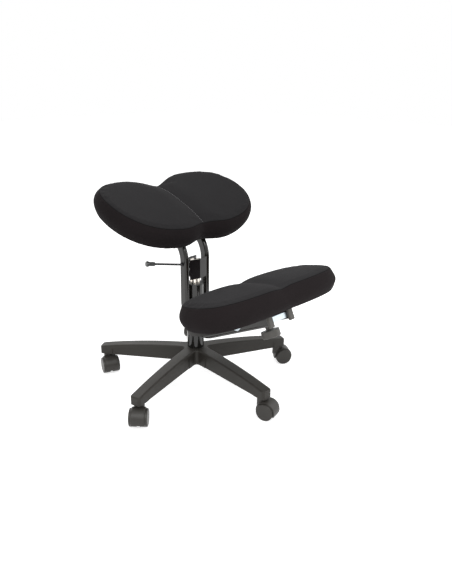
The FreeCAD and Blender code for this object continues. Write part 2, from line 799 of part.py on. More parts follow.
def board_outline(edges, half, inset, slope, level):
    """The cushion's plan drawn in all round, as a closed wire on the slope."""
    shares = [0.0, 0.15, 0.35, 0.55, 0.72, 0.85, 0.94, 0.985]
    front = []
    back = []
    for t in shares:
        x = t * half
        forward, rear = edges(x)
        scale = (half - inset) / half
        front.append((x * scale, forward - inset * lobe(x, half, 3)))
        back.append((x * scale, rear + inset * lobe(x, half, 3)))
    right = front + back[::-1]
    loop = right + [(-x, s) for x, s in right[::-1]]
    points = [slope.at(x, s, level) for x, s in loop]
    corner = len(shares)
    spans = []
    for start, end in ((0, 2 * corner - 1), (2 * corner, 4 * corner - 1)):
        curve = Part.BSplineCurve()
        curve.interpolate(points[start:end + 1])
        spans.append(curve.toShape())
    return Part.Wire(spans)


def seat_rise(x):
    return x * x / (2 * seat_curve_radius)


def no_rise(x):
    return 0.0


seat_pad = cushion(seat, seat_edges, seat_half_width, seat_thickness, seat_crown, seat_valley,
                   seat_valley_width, seat_inset, seat_rise)
seat_pad.translate(seat.normal * board_stand)
knee_pad = cushion(knee, knee_edges, knee_half_width, knee_thickness, knee_crown, knee_valley,
                   knee_valley_width, knee_inset, no_rise)


def arched_slab(slope, radius, low, high, half, reach):
    """A sheet bent about an axis along s, so that its ends rise as the seat's lobes do."""
    def arc(level):
        r = radius - level
        a = math.asin(half / r)
        ends = [(-half, radius - r * math.cos(a)), (0, level), (half, radius - r * math.cos(a))]
        return [slope.at(x, -reach, n) for x, n in ends]
    under = arc(low)
    over = arc(high)
    edges = [Part.Arc(*under).toShape(), Part.makeLine(under[2], over[2]),
             Part.Arc(*over).toShape(), Part.makeLine(over[0], under[0])]
    return Part.Face(Part.Wire(edges)).extrude(slope.along * (2 * reach))


seat_board_wire = board_outline(seat_edges, seat_half_width, board_inset, seat, -1)
seat_board_column = Part.Face(seat_board_wire).extrude(seat.normal * (2 * seat_thickness))
seat_board = arched_slab(seat, seat_curve_radius, 0, board_thickness, seat_half_width, seat_half_width)
land = seat.box(-board_land, board_land, -seat_half_width, seat_half_width, 0, board_thickness)
seat_board = seat_board.fuse(land).common(seat_board_column).removeSplitter()
knee_board_wire = board_outline(knee_edges, knee_half_width, knee_board_inset, knee, -knee_board_drop)
knee_board = Part.Face(knee_board_wire).extrude(knee.normal * board_thickness)


def fixings(slope, places, under, over, board_top):
    """Bolts from below and flanged nuts let into the top of the board."""
    pieces = []
    for x, s in places:
        shank = slope.rod(bolt_radius, x, s, under, over)
        head = slope.rod(bolt_head_radius, x, s, under - bolt_head_height, under)
        socket = slope.rod(bolt_socket_radius, x, s, under - bolt_head_height, under - bolt_head_height / 2)
        pieces.append(shank.fuse(head).cut(socket).removeSplitter())
        barrel = slope.rod(nut_barrel_radius, x, s, board_top - nut_depth, board_top)
        flange = slope.rod(nut_flange_radius, x, s, board_top, board_top + nut_flange_height)
        pieces.append(barrel.fuse(flange).cut(slope.rod(bolt_radius, x, s, under, over)).removeSplitter())
    return pieces


def fixing_clearance(slope, places, under, over, board_top):
    """What the bolts and nuts take out of the plate, the board and the cushion."""
    cuts = []
    for x, s in places:
        cuts.append(slope.rod(bolt_radius, x, s, under - 1, over))
        cuts.append(slope.rod(nut_barrel_radius, x, s, board_top - nut_depth, board_top))
        cuts.append(slope.rod(nut_flange_radius, x, s, board_top, board_top + nut_flange_height))
    return cuts


seat_places = [(i * seat_bolt_x, seat_bolt_offset + j * seat_bolt_s) for i in (-1, 1) for j in (-1, 1)]
seat_board_top = board_thickness + seat_rise(seat_bolt_x) + 0.5
seat_bolt_end = seat_board_top + nut_flange_height
seat_cuts = fixing_clearance(seat, seat_places, -seat_plate_thickness, seat_bolt_end, seat_board_top)
nodes["seat_fixings"] = Part.makeCompound(
    fixings(seat, seat_places, -seat_plate_thickness, seat_bolt_end, seat_board_top))
nodes["seat_board"] = seat_board.cut(seat_cuts)
nodes["seat_cushion"] = seat_pad.cut([seat_board] + seat_cuts)

seat_plate = seat.box(-seat_plate_half_width, seat_plate_half_width, seat_plate_back, seat_plate_front,
                      -seat_plate_thickness, 0)
nodes["seat_plate"] = seat_plate.cut(seat_cuts)

knee_places = [(i * knee_bolt_x, knee_bolt_offset + j * knee_bolt_s) for i in (-1, 1) for j in (-1, 1)]
knee_plate_top = -knee_board_drop
knee_plate_low = knee_plate_top - knee_plate_sheet
knee_board_top = board_thickness - knee_board_drop
knee_bolt_end = knee_board_top + nut_flange_height
knee_cuts = fixing_clearance(knee, knee_places, knee_plate_low, knee_bolt_end, knee_board_top)
nodes["knee_fixings"] = Part.makeCompound(
    fixings(knee, knee_places, knee_plate_low, knee_bolt_end, knee_board_top))


def arm_room(x):
    """Room for an arm and its cap under the knee rest, as far as the rest slides."""
    w = cap_width / 2 + arm_room_gap
    h = cap_height / 2 + arm_room_gap
    return arms.box(x - w, x + w, arm_length / 2, arm_length + cap_length + arm_room_reach, -h, h)


arm_rooms = [arm_room(tube_x), arm_room(-tube_x)]
nodes["knee_board"] = knee_board.cut(knee_cuts + arm_rooms)
nodes["knee_cushion"] = knee_pad.cut([knee_board] + knee_cuts + arm_rooms)


# Knee plate: zinc-plated sheet with a tapering flange turned down at each end

def knee_plate():
    w = knee_plate_half_width
    body = knee.box(-w, w, knee_plate_back, knee_plate_front, knee_plate_low, knee_plate_top)
    flange = [(knee_plate_back, knee_plate_top), (knee_plate_front, knee_plate_top),
              (knee_plate_front, knee_plate_low - knee_flange_front / 2),
              (knee_plate_front - 12, knee_plate_low - knee_flange_front),
              (knee_plate_back, knee_plate_low - knee_flange_back)]
    for x in (-w, w - knee_plate_sheet):
        body = body.fuse(knee.plate(flange, x, x + knee_plate_sheet))
    return body.removeSplitter().cut(knee_cuts)


nodes["knee_plate"] = knee_plate()


# Carriage that slides on the arms, its shoes and the clamp

shoe_low = tube_height / 2 + moving_gap
sheet_low = shoe_low + shoe_pad
sheet_high = sheet_low + carriage_sheet


def carriage():
    """A flat sheet on the shoes, wedge cheeks up to the knee plate and a tongue for the clamp."""
    w = carriage_half_width
    body = arms.box(-w, w, carriage_start, carriage_end, sheet_low, sheet_high)
    tongue = arms.box(-tongue_half_width, tongue_half_width, carriage_end - tongue_sheet, tongue_end,
                      tongue_level, tongue_level + tongue_sheet)
    riser = arms.box(-tongue_half_width, tongue_half_width, carriage_end - tongue_sheet, carriage_end,
                     tongue_level, sheet_high)
    body = body.fuse([tongue, riser])
    above = knee.box(-2 * w, 2 * w, -4 * w, 4 * w, knee_plate_low, 4 * w)
    for x in (-w, w - carriage_sheet):
        wedge = arms.box(x, x + carriage_sheet, carriage_start, carriage_end, sheet_low, 2 * w)
        body = body.fuse(wedge.cut(above))
    hole = arms.rod(stud_radius + running_gap, 0, stud_place, tongue_level - 1, tongue_level + tongue_sheet + 1)
    return body.cut(hole).removeSplitter()


nodes["knee_carriage"] = carriage()


def slide_shoes():
    """Four saddle-shaped shoes, two on each arm, under the carriage's sheet."""
    shoes = []
    inner = tube_width / 2 + moving_gap
    outer = inner + shoe_lip
    foot = shoe_low - shoe_reach
    for x in (-tube_x, tube_x):
        for start in (carriage_start, carriage_end - tongue_sheet - shoe_length):
            end = start + shoe_length
            body = arms.box(x - outer, x + outer, start, end, foot, sheet_low)
            shoes.append(body.cut(arms.box(x - inner, x + inner, start, end, foot, shoe_low)))
    return Part.makeCompound(shoes)


nodes["slide_shoes"] = slide_shoes()


def arm_bridge():
    """The slotted plate between the arms, with its front lip turned up."""
    w = tube_inner_x
    body = arms.box(-w, w, bridge_start, arm_length, bridge_level, bridge_level + bridge_sheet)
    lip = arms.box(-w, w, arm_length - bridge_sheet, arm_length, bridge_level, bridge_level + bridge_lip)
    body = body.fuse(lip)
    r = stud_radius + 1
    back = stud_place - bridge_slot_back
    front = stud_place + bridge_slot_front
    slot = arms.box(-r, r, back, front, bridge_level - 1, bridge_level + bridge_sheet + 1)
    for s in (back, front):
        slot = slot.fuse(arms.rod(r, 0, s, bridge_level - 1, bridge_level + bridge_sheet + 1))
    return body.cut(slot).removeSplitter()


nodes["arm_bridge"] = arm_bridge()


knob_top = bridge_level - moving_gap - knob_neck
knob_low = knob_top - knob_height
stud_low = knob_top - stud_grip


def clamp_knob():
    """A round hand knob on a neck that clamps the bridge from below."""
    head = arms.rod(knob_radius, 0, stud_place, knob_low, knob_top)
    head = head.makeFillet(knob_edge_radius, [e for e in head.Edges if e.isClosed()])
    neck = arms.rod(knob_neck_radius, 0, stud_place, knob_top, knob_top + knob_neck)
    hole = arms.rod(stud_radius, 0, stud_place, stud_low, knob_top + knob_neck)
    return head.fuse(neck).cut(hole).removeSplitter()


nodes["clamp_knob"] = clamp_knob()
nodes["clamp_stud"] = arms.rod(stud_radius, 0, stud_place, stud_low, tongue_level + tongue_sheet + 6)


# The whole chair is moved so that its box is centred over the origin, on the floor
box = Part.makeCompound(list(nodes.values())).optimalBoundingBox(False)
shift = Vec(-(box.XMin + box.XMax) / 2, -(box.YMin + box.YMax) / 2, 0)
print("lift axis at x %.3f y %.3f" % (shift.x, shift.y))
print("box x %.1f y %.1f z %.2f to %.1f" % (box.XLength, box.YLength, box.ZMin, box.ZMax))
print("arm frame origin", arms.origin + shift, "along", arms.along, "normal", arms.normal)
print("stud at", arms.at(0, stud_place, 0) + shift)
print("seat origin", seat.origin + shift, "knee origin", knee.origin + shift)
for name, shape in nodes.items():
    shape.translate(shift)
    shape.exportStep("parts/%s.step" % name)
    print("%-26s solids %2d volume %9.0f valid %s" % (name, len(shape.Solids), shape.Volume, shape.isValid()))
print(len(nodes), "nodes")
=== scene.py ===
import bpy
import json
import math
import numpy as np
from mathutils import Matrix, Vector
from mathutils.bvhtree import BVHTree
from mathutils.kdtree import KDTree

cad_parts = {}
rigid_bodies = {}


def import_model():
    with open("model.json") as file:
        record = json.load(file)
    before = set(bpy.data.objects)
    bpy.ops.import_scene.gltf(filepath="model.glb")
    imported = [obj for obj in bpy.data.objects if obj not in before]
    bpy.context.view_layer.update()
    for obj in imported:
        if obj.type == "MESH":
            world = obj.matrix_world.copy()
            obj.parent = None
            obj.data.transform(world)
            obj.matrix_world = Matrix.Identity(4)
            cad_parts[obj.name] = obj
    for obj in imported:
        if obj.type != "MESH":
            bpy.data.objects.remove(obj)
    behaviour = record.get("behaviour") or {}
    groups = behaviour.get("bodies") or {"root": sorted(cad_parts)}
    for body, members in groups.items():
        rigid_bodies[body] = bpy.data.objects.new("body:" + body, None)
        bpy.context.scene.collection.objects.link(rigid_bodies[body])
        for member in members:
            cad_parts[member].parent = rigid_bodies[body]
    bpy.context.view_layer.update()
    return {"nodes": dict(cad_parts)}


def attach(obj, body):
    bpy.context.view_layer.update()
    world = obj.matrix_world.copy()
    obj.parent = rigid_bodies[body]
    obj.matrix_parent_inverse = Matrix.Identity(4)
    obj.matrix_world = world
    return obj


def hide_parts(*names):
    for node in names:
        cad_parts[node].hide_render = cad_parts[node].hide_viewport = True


for leftover in list(bpy.data.objects):
    bpy.data.objects.remove(leftover)
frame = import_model()
mm = 0.001
nodes = frame["nodes"]
print("chair loaded:", len(nodes), "pieces")


# Small helpers for meshes

def meshObject(name, points, faces, material, smooth=True):
    # points are in mm in the chair's frame, so the object itself stays at the origin
    mesh = bpy.data.meshes.new(name)
    mesh.from_pydata((np.asarray(points, float) * mm).tolist(), [], [list(map(int, f)) for f in faces])
    mesh.validate()
    mesh.polygons.foreach_set("use_smooth", [smooth] * len(mesh.polygons))
    mesh.materials.append(material)
    obj = bpy.data.objects.new(name, mesh)
    bpy.context.scene.collection.objects.link(obj)
    return obj


def gridFaces(rows, cols, closed):
    # quads between neighbouring rows; closed joins the last column to the first
    r, c = np.meshgrid(np.arange(rows - 1), np.arange(cols if closed else cols - 1), indexing="ij")
    n = (c + 1) % cols
    quads = np.stack([r * cols + c, r * cols + n, (r + 1) * cols + n, (r + 1) * cols + c], axis=-1)
    return quads.reshape(-1, 4)


def slopeFrame(place):
    # the sloping frame's origin and its three directions: left, along and square to it
    a = math.radians(place["tilt"])
    axes = np.array([[1, 0, 0], [0, -math.cos(a), math.sin(a)], [0, math.sin(a), math.cos(a)]])
    return np.array(place["origin"]), axes


def outOf(place, local):
    origin, axes = slopeFrame(place)
    return origin + np.asarray(local, float) @ axes


def into(place, points):
    origin, axes = slopeFrame(place)
    return (np.asarray(points, float) - origin) @ axes.T


def tubeAlong(path, upward, radius, sides=8, closed=False):
    # a round profile carried along the path; each ring is centre + radius (cos a * side + sin a * up)
    path = np.asarray(path, float)
    if closed:
        tangent = np.roll(path, -1, 0) - np.roll(path, 1, 0)
    else:
        tangent = np.gradient(path, axis=0)
    tangent /= np.linalg.norm(tangent, axis=1)[:, None]
    side = np.cross(tangent, upward)
    side /= np.linalg.norm(side, axis=1)[:, None]
    up = np.cross(side, tangent)
    a = np.arange(sides) * 2 * math.pi / sides
    radius = np.broadcast_to(radius, len(path))[:, None, None]
    turn = np.cos(a)[None, :, None] * side[:, None] + np.sin(a)[None, :, None] * up[:, None]
    rings = path[:, None] + radius * turn
    faces = gridFaces(len(path), sides, True)
    if closed:
        last = (len(path) - 1) * sides
        c = np.arange(sides)
        n = (c + 1) % sides
        faces = np.vstack([faces, np.stack([last + c, last + n, n, c], axis=-1)])
        return rings.reshape(-1, 3), faces[:, ::-1].tolist()
    caps = [list(range(sides)), list(range(len(path) * sides - 1, (len(path) - 1) * sides - 1, -1))]
    return rings.reshape(-1, 3), faces[:, ::-1].tolist() + caps


# Shared effects for the materials

def newGroup(name, inputs, outputs):
    group = bpy.data.node_groups.new(name, "ShaderNodeTree")
    for label, kind, value in inputs:
        socket = group.interface.new_socket(label, in_out="INPUT", socket_type="NodeSocket" + kind)
        if value is not None:
            socket.default_value = value
    for label, kind in outputs:
        group.interface.new_socket(label, in_out="OUTPUT", socket_type="NodeSocket" + kind)
    return group, group.nodes.new("NodeGroupInput"), group.nodes.new("NodeGroupOutput")


def mathNode(tree, operation, a, b=0.0, c=None):
    node = tree.nodes.new("ShaderNodeMath")
    node.operation = operation
    for socket, value in zip(node.inputs, (a, b, c)):
        if isinstance(value, bpy.types.NodeSocket):
            tree.links.new(value, socket)
        elif value is not None:
            socket.default_value = value
    return node.outputs[0]


def buildWeave():
    # three crossed sine waves, so that any flat cut through them shows a fine even cloth
    group, start, end = newGroup("clothWeave", [("Vector", "Vector", None), ("Threads", "Float", 2600.0),
                                                ("Fleck", "Float", 0.25)],
                                 [("Height", "Float"), ("Shade", "Float")])
    links = group.links
    split = group.nodes.new("ShaderNodeSeparateXYZ")
    links.new(start.outputs["Vector"], split.inputs[0])
    waves = [mathNode(group, "SINE", mathNode(group, "MULTIPLY", axis, start.outputs["Threads"]))
             for axis in split.outputs]
    total = mathNode(group, "ADD", mathNode(group, "ADD", waves[0], waves[1]), waves[2])
    fleck = group.nodes.new("ShaderNodeTexNoise")
    fleck.inputs["Scale"].default_value = 420.0
    fleck.inputs["Detail"].default_value = 3.0
    links.new(start.outputs["Vector"], fleck.inputs["Vector"])
    wide = group.nodes.new("ShaderNodeTexNoise")
    wide.inputs["Scale"].default_value = 14.0
    wide.inputs["Detail"].default_value = 4.0
    links.new(start.outputs["Vector"], wide.inputs["Vector"])
    links.new(mathNode(group, "MULTIPLY_ADD", total, 0.16, fleck.outputs[0]), end.inputs["Height"])
    fine = mathNode(group, "MULTIPLY_ADD", mathNode(group, "SUBTRACT", fleck.outputs[0], 0.5),
                    start.outputs["Fleck"], 1.0)
    soft = mathNode(group, "MULTIPLY_ADD", mathNode(group, "SUBTRACT", wide.outputs[0], 0.5), 0.22, fine)
    links.new(soft, end.inputs["Shade"])
    return group


def buildGrain():
    # two sizes of noise: the fine one is the moulded grain, the wide one is handling and dust
    group, start, end = newGroup("mouldedGrain", [("Vector", "Vector", None), ("Grain", "Float", 900.0),
                                                  ("Patch", "Float", 11.0)],
                                 [("Height", "Float"), ("Shade", "Float"), ("Rough", "Float")])
    outs = []
    for label, detail in (("Grain", 2.0), ("Patch", 5.0)):
        noise = group.nodes.new("ShaderNodeTexNoise")
        noise.inputs["Detail"].default_value = detail
        group.links.new(start.outputs["Vector"], noise.inputs["Vector"])
        group.links.new(start.outputs[label], noise.inputs["Scale"])
        outs.append(noise.outputs[0])
    group.links.new(outs[0], end.inputs["Height"])
    patch = mathNode(group, "SUBTRACT", outs[1], 0.5)
    group.links.new(mathNode(group, "MULTIPLY_ADD", patch, 0.35, 1.0), end.inputs["Shade"])
    group.links.new(mathNode(group, "MULTIPLY_ADD", patch, 0.3, 0.0), end.inputs["Rough"])
    return group


def buildBrush():
    # noise stretched far along one direction, as rolled or ground metal shows
    group, start, end = newGroup("drawnMetal", [("Vector", "Vector", None), ("Stretch", "Vector", (1.0, 1.0, 30.0))],
                                 [("Height", "Float"), ("Shade", "Float"), ("Rough", "Float")])
    scale = group.nodes.new("ShaderNodeVectorMath")
    scale.operation = "MULTIPLY"
    group.links.new(start.outputs["Vector"], scale.inputs[0])
    group.links.new(start.outputs["Stretch"], scale.inputs[1])
    noise = group.nodes.new("ShaderNodeTexNoise")
    noise.inputs["Scale"].default_value = 60.0
    noise.inputs["Detail"].default_value = 4.0
    group.links.new(scale.outputs[0], noise.inputs["Vector"])
    line = mathNode(group, "SUBTRACT", noise.outputs[0], 0.5)
    group.links.new(noise.outputs[0], end.inputs["Height"])
    group.links.new(mathNode(group, "MULTIPLY_ADD", line, 0.5, 1.0), end.inputs["Shade"])
    group.links.new(mathNode(group, "MULTIPLY_ADD", line, 0.25, 0.0), end.inputs["Rough"])
    return group


weaveGroup = buildWeave()
grainGroup = buildGrain()
brushGroup = buildBrush()


def newMaterial(name, look):
    material = bpy.data.materials.new(name)
    material.use_nodes = True
    tree = material.node_tree
    shader = tree.nodes["Principled BSDF"]
    for label, value in look.items():
        shader.inputs[label].default_value = value
    return material, tree, shader


def shaded(tree, color, factor):
    # the colour, made lighter or darker by a factor that changes over the surface
    node = tree.nodes.new("ShaderNodeMix")
    node.data_type = "RGBA"
    node.blend_type = "MULTIPLY"
    node.inputs["Factor"].default_value = 1.0
    node.inputs["A"].default_value = (*color, 1.0)
    combine = tree.nodes.new("ShaderNodeCombineColor")
    for socket in combine.inputs:
        tree.links.new(factor, socket)
    tree.links.new(combine.outputs[0], node.inputs["B"])
    return node.outputs["Result"]


def addBump(tree, shader, height, depth, strength):
    bump = tree.nodes.new("ShaderNodeBump")
    bump.inputs["Distance"].default_value = depth
    bump.inputs["Strength"].default_value = strength
    tree.links.new(height, bump.inputs["Height"])
    tree.links.new(bump.outputs[0], shader.inputs["Normal"])


def surface(name, group, settings, color, roughness, depth, strength=0.4, **look):
    # one finish: a shared effect drives its colour, roughness and bump
    material, tree, shader = newMaterial(name, look)
    where = tree.nodes.new("ShaderNodeTexCoord")
    effect = tree.nodes.new("ShaderNodeGroup")
    effect.node_tree = group
    tree.links.new(where.outputs["Object"], effect.inputs["Vector"])
    for label, value in settings.items():
        effect.inputs[label].default_value = value
    tree.links.new(shaded(tree, color, effect.outputs["Shade"]), shader.inputs["Base Color"])
    if "Rough" in effect.outputs:
        tree.links.new(mathNode(tree, "ADD", effect.outputs["Rough"], roughness), shader.inputs["Roughness"])
    else:
        shader.inputs["Roughness"].default_value = roughness
    addBump(tree, shader, effect.outputs["Height"], depth, strength)
    return material


# the side colour is the top colour darkened: painted shade on the pads' side bands
fabric = {"topColor": (0.0185, 0.0178, 0.0187), "shadedSideColor": (0.0115, 0.0092, 0.0097),
          "seamColor": (0.0015, 0.0015, 0.0015), "roughness": 0.9, "sheen": 0.015, "specular": 0.06,
          "seamWidth": 0.9, "seamDepth": 0.75, "weaveDepth": 0.0004, "weaveStrength": 0.6}


def upholstery(name, place):
    # the top panel and the side bands meet at the seam and are told apart by the distance to it; the side bands get a
    # darker copy of the top colour, painted shade for the sides that the light reaches less
    material, tree, shader = newMaterial(name, {"Roughness": fabric["roughness"], "Sheen Weight": fabric["sheen"],
                                                "Sheen Roughness": 0.5,
                                                "Specular IOR Level": fabric["specular"]})
    where = tree.nodes.new("ShaderNodeTexCoord")
    turn = tree.nodes.new("ShaderNodeMapping")
    turn.inputs["Rotation"].default_value = (math.radians(place["tilt"]), 0, 0)
    tree.links.new(where.outputs["Object"], turn.inputs["Vector"])
    weave = tree.nodes.new("ShaderNodeGroup")
    weave.node_tree = weaveGroup
    tree.links.new(turn.outputs[0], weave.inputs["Vector"])
    seam = tree.nodes.new("ShaderNodeAttribute")
    seam.attribute_name = "seamSide"
    side = tree.nodes.new("ShaderNodeMapRange")
    side.interpolation_type = "SMOOTHSTEP"
    side.inputs["From Min"].default_value = -0.5
    side.inputs["From Max"].default_value = 0.5
    tree.links.new(seam.outputs["Fac"], side.inputs["Value"])
    line = tree.nodes.new("ShaderNodeMapRange")
    line.interpolation_type = "SMOOTHSTEP"
    line.inputs["From Min"].default_value = 0.4 * fabric["seamWidth"]
    line.inputs["From Max"].default_value = 1.6 * fabric["seamWidth"]
    line.inputs["To Min"].default_value = 1.0
    line.inputs["To Max"].default_value = 0.0
    tree.links.new(mathNode(tree, "ABSOLUTE", seam.outputs["Fac"]), line.inputs["Value"])
    # both cloth colours are scaled by the pad's gain, which is painted light: the knee pad's 1.3 stands in for the
    # stronger front light on the knee rest
    colors = [shaded(tree, [c * place["paintedLightGain"] for c in fabric[key]], weave.outputs["Shade"])
              for key in ("topColor", "shadedSideColor")]
    mixed = tree.nodes.new("ShaderNodeMix")
    mixed.data_type = "RGBA"
    tree.links.new(side.outputs[0], mixed.inputs["Factor"])
    tree.links.new(colors[0], mixed.inputs["A"])
    tree.links.new(colors[1], mixed.inputs["B"])
    dark = tree.nodes.new("ShaderNodeMix")
    dark.data_type = "RGBA"
    dark.inputs["B"].default_value = (*fabric["seamColor"], 1.0)
    tree.links.new(mathNode(tree, "MULTIPLY", line.outputs[0], fabric["seamDepth"]), dark.inputs["Factor"])
    tree.links.new(mixed.outputs["Result"], dark.inputs["A"])
    tree.links.new(dark.outputs["Result"], shader.inputs["Base Color"])
    addBump(tree, shader, weave.outputs["Height"], fabric["weaveDepth"], fabric["weaveStrength"])
    return material


finishes = {
    "basePlastic": surface("basePlastic", grainGroup, {"Grain": 700.0}, (0.024, 0.0215, 0.018), 0.5, 0.0004, 0.35,
                           **{"Specular IOR Level": 0.3}),
    "casterPlastic": surface("casterPlastic", grainGroup, {"Grain": 900.0}, (0.030, 0.0275, 0.024), 0.42, 0.0003,
                             0.25, **{"Specular IOR Level": 0.35}),
    "capPlastic": surface("capPlastic", grainGroup, {"Grain": 800.0}, (0.062, 0.058, 0.052), 0.46, 0.0003, 0.3),
    "glossBlack": surface("glossBlack", grainGroup, {"Grain": 260.0}, (0.009, 0.0075, 0.006), 0.2, 0.0003, 0.1,
                          **{"Coat Weight": 0.15, "Coat Roughness": 0.1, "Specular IOR Level": 0.4}),
    "columnBlack": surface("columnBlack", grainGroup, {"Grain": 260.0}, (0.008, 0.0075, 0.0065), 0.14, 0.0003, 0.06,
                           **{"Coat Weight": 0.3, "Coat Roughness": 0.06, "Specular IOR Level": 0.4}),
    "coverBlack": surface("coverBlack", grainGroup, {"Grain": 300.0}, (0.006, 0.0045, 0.005), 0.34, 0.0003, 0.15,
                          **{"Coat Weight": 0.1, "Coat Roughness": 0.25, "Specular IOR Level": 0.3}),
    "liftChrome": surface("liftChrome", brushGroup, {"Stretch": (1.0, 1.0, 24.0)}, (0.97, 0.9, 0.81), 0.34, 0.0001,
                          0.15, **{"Metallic": 1.0}),
    "zincPlate": surface("zincPlate", brushGroup, {"Stretch": (20.0, 1.5, 1.5)}, (0.5, 0.56, 0.6), 0.34, 0.0002, 0.25,
                         **{"Metallic": 1.0}),
    "plainSteel": surface("plainSteel", brushGroup, {"Stretch": (1.0, 1.0, 12.0)}, (0.5, 0.5, 0.5), 0.32, 0.0002, 0.2,
                          **{"Metallic": 1.0}),
    "slidePlastic": surface("slidePlastic", grainGroup, {"Grain": 500.0}, (0.02, 0.02, 0.02), 0.4, 0.0002, 0.15),
    "softRubber": surface("softRubber", grainGroup, {"Grain": 600.0}, (0.018, 0.018, 0.018), 0.7, 0.0003, 0.3),
    "leverBlack": surface("leverBlack", grainGroup, {"Grain": 400.0}, (0.018, 0.018, 0.02), 0.25, 0.0002, 0.1,
                          **{"Coat Weight": 0.5, "Coat Roughness": 0.12}),
    "gripGrey": surface("gripGrey", grainGroup, {"Grain": 700.0}, (0.05, 0.052, 0.052), 0.4, 0.0003, 0.2),
    "boardBlack": surface("boardBlack", brushGroup, {"Stretch": (1.0, 12.0, 12.0)}, (0.02, 0.018, 0.017), 0.72,
                          0.0004, 0.3),
}
nodeFinish = {
    "star_base": "basePlastic", "stem_sleeves": "plainSteel", "base_column": "columnBlack",
    "guide_bush": "slidePlastic", "thrust_bearing": "plainSteel", "piston_rod": "plainSteel",
    "rod_clip": "plainSteel", "rubber_buffer": "softRubber",
    "gas_cylinder": "liftChrome", "release_pin": "plainSteel", "left_frame_tube": "glossBlack",
    "right_frame_tube": "glossBlack", "left_arm_cap": "capPlastic", "right_arm_cap": "capPlastic",
    "tail_plugs": "capPlastic", "lift_socket": "glossBlack", "front_cover": "coverBlack",
    "height_lever": "leverBlack", "lever_grip": "gripGrey", "lever_grommet": "softRubber",
    "seat_fixings": "zincPlate",
    "seat_board": "boardBlack", "seat_plate": "glossBlack", "knee_fixings": "zincPlate", "knee_board": "boardBlack",
    "knee_plate": "zincPlate", "knee_carriage": "glossBlack", "slide_shoes": "slidePlastic",
    "arm_bridge": "zincPlate", "clamp_knob": "capPlastic", "clamp_stud": "plainSteel",
    "seat_cushion": "softRubber", "knee_cushion": "softRubber",
}
nodeFinish.update({"caster_%d_%s" % (k, part): ("plainSteel" if part in ("stem", "axle") else "casterPlastic")
                   for k in range(1, 6) for part in ("hood", "stem", "axle", "left_wheel", "right_wheel")})
for name, node in nodes.items():
    node.data.materials.clear()
    node.data.materials.append(finishes[nodeFinish[name]])
print("finishes on", len(nodes), "pieces")


# Padded seat and knee rest

seatPad = {"name": "seatPad", "node": "seat_cushion", "body": "frame", "origin": (2.8355, 127.7694, 492.5107),
           "tilt": -19.8, "halfWidth": 240.0, "halfDepth": 142.0, "power": 3.6, "fullness": (2.0, 2.5),
           "shift": (0.0, 0.0), "frontNotch": (21.0, 45.0), "backNotch": (37.0, 60.0), "height": 61.0,
           "crown": 7.5, "valley": (6.0, 26.0), "inset": 4.0, "lip": 6.0, "paintedLightGain": 1.0,
           "bend": 1250.0, "edge": 4.5, "bulge": 10.0, "shrink": 0.6, "reach": 2.0, "voxel": 4.0,
           "crease": (2.4, 4.0), "stitches": (-96.0, 112.0), "fill": 0.85}
# the knee pad's colour gain of 1.3 is painted light for the front light that falls on the knee rest
kneePad = {"name": "kneePad", "node": "knee_cushion", "body": "knee_rest", "origin": (2.8355, -198.8408, 302.9512),
           "tilt": 13.5, "halfWidth": 246.0, "halfDepth": 99.0, "power": 4.4, "fullness": (3.0, 2.4),
           "shift": (16.0, 16.0), "frontNotch": (2.0, 35.0), "backNotch": (9.0, 35.0), "height": 67.0,
           "crown": 8.0, "valley": (4.0, 26.0), "inset": 5.0, "lip": 2.0, "paintedLightGain": 1.3,
           "bend": None, "edge": 9.0, "bulge": 11.0, "shrink": 0.8, "reach": 2.0, "voxel": 4.0,
           "crease": (1.2, 7.0), "stitches": None, "fill": 0.85}


def padOutline(pad, count):
    # a rounded curve |x/w|^p + |s/d|^q = 1, evenly spaced, with its own q and its own soft notch in front and behind
    t = np.linspace(0, 2 * math.pi, 6001)
    c, v = np.cos(t), np.sin(t)
    x = pad["halfWidth"] * np.sign(c) * np.abs(c) ** (2 / pad["power"])
    q = np.where(v > 0, *pad["fullness"])
    s = pad["halfDepth"] * np.sign(v) * np.abs(v) ** (2 / q)
    front = pad["frontNotch"][0] * np.exp(-(x / pad["frontNotch"][1]) ** 2)
    back = pad["backNotch"][0] * np.exp(-(x / pad["backNotch"][1]) ** 2)
    s = s - np.where(v > 0, front, -back)
    run = np.concatenate([[0], np.cumsum(np.hypot(np.diff(x), np.diff(s)))])
    even = np.linspace(0, run[-1], count, endpoint=False)
    curve = np.stack([np.interp(even, run, x), np.interp(even, run, s)], axis=1) + pad["shift"]
    side = np.roll(curve, -1, 0) - np.roll(curve, 1, 0)
    side /= np.linalg.norm(side, axis=1)[:, None]
    return curve, np.stack([side[:, 1], -side[:, 0]], axis=1)


def padRise(pad, x):
    return x * x / (2 * pad["bend"]) if pad["bend"] else np.zeros_like(x)


def padTop(pad, x):
    # height of the top edge above the underside: the lobes rise and the middle dips
    return pad["height"] + padRise(pad, x) - pad["valley"][0] * np.exp(-(x / pad["valley"][1]) ** 2)


